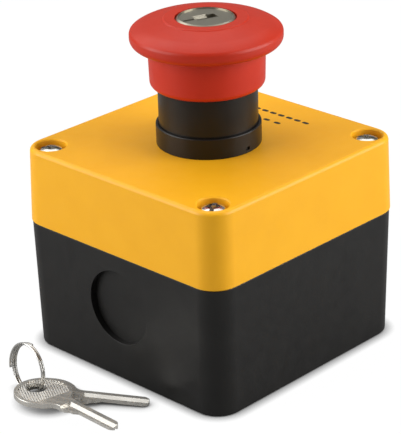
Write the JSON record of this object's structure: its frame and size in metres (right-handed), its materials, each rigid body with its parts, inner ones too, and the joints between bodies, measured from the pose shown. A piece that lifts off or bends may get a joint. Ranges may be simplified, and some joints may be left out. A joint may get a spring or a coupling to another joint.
{
  "type": "emergency stop button box",
  "caption": "Square surface-mount box with a black base and yellow cover carrying a red key-release mushroom stop button, with loose keys on a split ring.",
  "frame": {"origin": "centre of the base's underside, where the box lies on a wall or bench", "axes": "+Z out of the box along the button's travel, -Y towards the front cable entry, +X to the right of it"},
  "size_m": [0.072, 0.1024, 0.0913],
  "materials": {
    "black_plastic": "black moulded plastic with a fine satin grain",
    "yellow_plastic": "warm yellow moulded plastic with a satin surface",
    "red_plastic": "bright red moulded plastic, softly glossy",
    "guide_plastic": "brownish black plastic with a light gloss",
    "contact_plastic": "pale grey moulded plastic",
    "lock_metal": "nickel-plated die casting, finely turned",
    "key_nickel": "nickel-plated, stamped and milled",
    "screw_steel": "bright zinc-plated steel",
    "spring_steel": "plain drawn spring wire",
    "contact_brass": "stamped brass strip",
    "rubber": "soft black rubber"
  },
  "bodies": {
    "box": {"base": "black_plastic", "cover": "yellow_plastic", "cover_gasket": "rubber", "cover_screws": "screw_steel", "actuator_body": "guide_plastic", "wiper_seal": "rubber", "bezel_ring": "guide_plastic", "panel_gasket": "rubber", "lock_washer": "screw_steel", "fixing_nut": "guide_plastic", "return_spring": "spring_steel", "contact_carrier": "contact_plastic", "carrier_screws": "screw_steel", "contact_block_left": "contact_plastic", "contact_block_right": "contact_plastic", "contact_spring_left": "spring_steel", "contact_spring_right": "spring_steel", "fixed_contacts": "contact_brass", "terminal_clamps": "contact_brass", "terminal_screws": "screw_steel"},
    "button": {"mushroom_head": "red_plastic", "lock_barrel": "lock_metal", "push_rod": "contact_plastic", "push_foot": "contact_plastic"},
    "lock": {"lock_plug": "lock_metal", "lock_cam": "lock_metal"},
    "latch_right": {"latch_bolt_right": "screw_steel"},
    "latch_left": {"latch_bolt_left": "screw_steel"},
    "contact_left": {"contact_plunger_left": "contact_plastic", "contact_bridge_left": "contact_brass"},
    "contact_right": {"contact_plunger_right": "contact_plastic", "contact_bridge_right": "contact_brass"},
    "key_lower": {"key_lower": "key_nickel"},
    "key_upper": {"key_upper": "key_nickel"},
    "key_ring": {"key_ring": "key_nickel"}
  },
  "joints": [
    {"name": "button_press", "type": "slide", "parent": "box", "child": "button", "axis": [0, 0, -1], "range_m": [0, 0.006], "stiffness_N_per_m": 1500, "springref_m": -0.004, "deforming": ["return_spring"]},
    {"name": "lock_turn", "type": "hinge", "parent": "button", "child": "lock", "pos_m": [0, 0, 0.0913], "axis": [0, 0, -1], "range_deg": [0, 45], "stiffness_Nm_per_rad": 0.02, "springref_deg": -11.46},
    {"name": "latch_right_draw", "type": "slide", "parent": "button", "child": "latch_right", "axis": [-1, 0, 0], "range_m": [0, 0.0019]},
    {"name": "latch_left_draw", "type": "slide", "parent": "button", "child": "latch_left", "axis": [1, 0, 0], "range_m": [0, 0.0019]},
    {"name": "contact_left_open", "type": "slide", "parent": "box", "child": "contact_left", "axis": [0, 0, -1], "range_m": [0, 0.006], "deforming": ["contact_spring_left"]},
    {"name": "contact_right_open", "type": "slide", "parent": "box", "child": "contact_right", "axis": [0, 0, -1], "range_m": [0, 0.006], "deforming": ["contact_spring_right"]},
    {"name": "key_lift", "type": "slide", "parent": "box", "child": "key_lower", "axis": [0, 0, 1], "range_m": [0, 0.06]},
    {"name": "key_swivel", "type": "hinge", "parent": "key_lower", "child": "key_upper", "pos_m": [-0.00766, -0.05872, 0.00309], "axis": [0.0019, 0.0732, 0.9973], "range_deg": [-60, 8]},
    {"name": "ring_turn", "type": "hinge", "parent": "key_lower", "child": "key_ring", "pos_m": [-0.013, -0.0564, 0.00701], "axis": [0.1089, 0.9861, -0.1253], "continuous": true}
  ],
  "couplings": [
    {"joint": "latch_right_draw", "follows": "lock_turn", "m_per_rad": 0.0023194},
    {"joint": "latch_left_draw", "follows": "lock_turn", "m_per_rad": 0.0023194},
    {"joint": "contact_left_open", "follows": "button_press", "ratio": 1},
    {"joint": "contact_right_open", "follows": "button_press", "ratio": 1}
  ]
}
